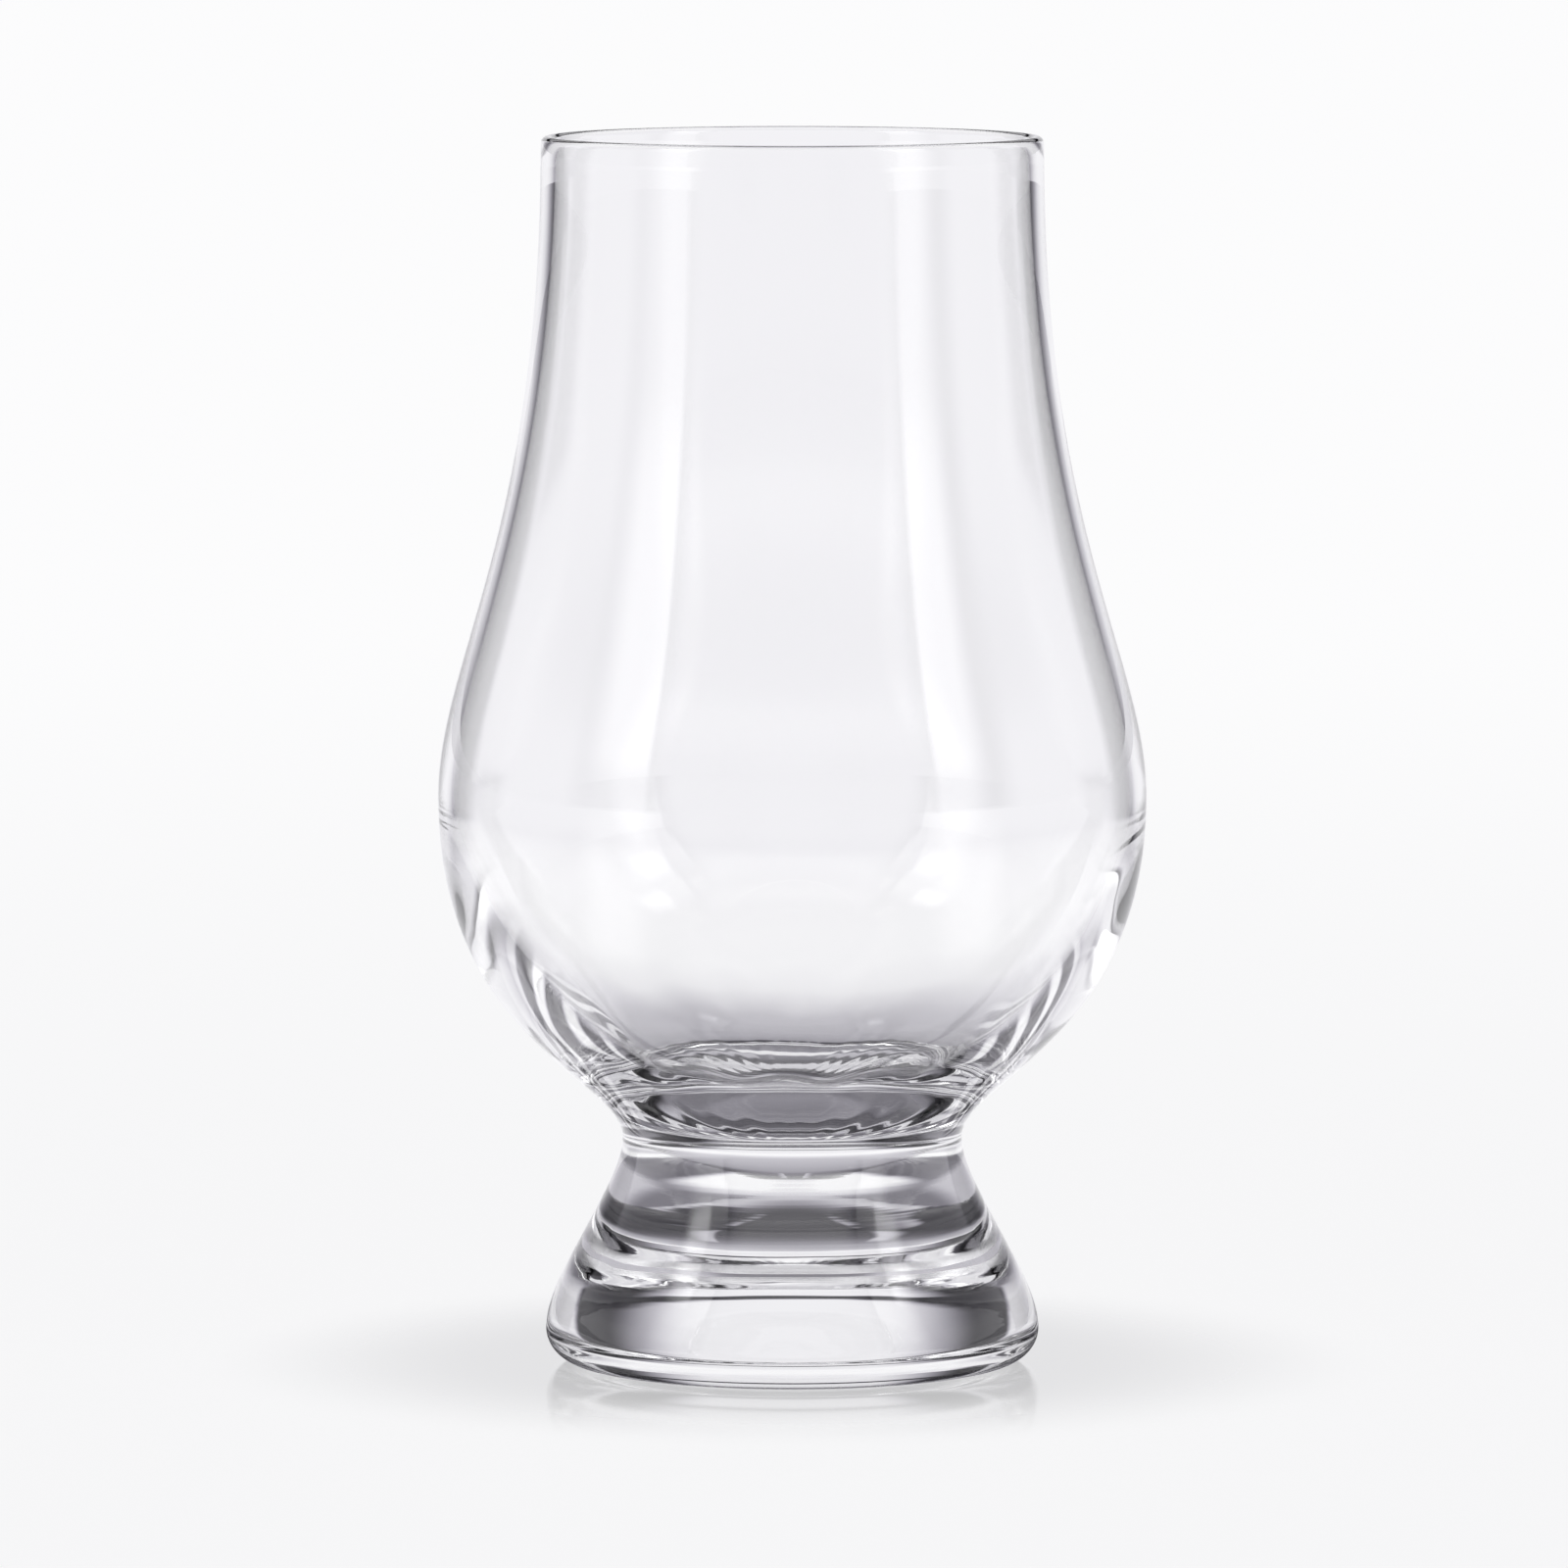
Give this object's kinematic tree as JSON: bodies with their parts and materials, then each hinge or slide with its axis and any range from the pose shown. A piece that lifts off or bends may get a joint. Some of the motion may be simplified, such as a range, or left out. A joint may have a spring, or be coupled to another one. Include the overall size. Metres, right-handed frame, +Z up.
{
  "type": "whisky nosing glass",
  "caption": "Clear tulip-shaped whisky nosing glass: round belly, narrow chimney with a rounded lip, short neck and heavy solid flared foot.",
  "frame": {"origin": "centre of the foot, on the plane that the glass stands on", "axes": "+Z up, along the glass's own axis from the foot to the lip; the glass is turned about Z, so X and Y are alike"},
  "size_m": [0.0662, 0.0662, 0.115],
  "materials": {
    "clear_glass": "polished clear crystal, fire-polished lip"
  },
  "bodies": {
    "root": {"bowl": "clear_glass", "foot": "clear_glass"}
  },
  "joints": []
}
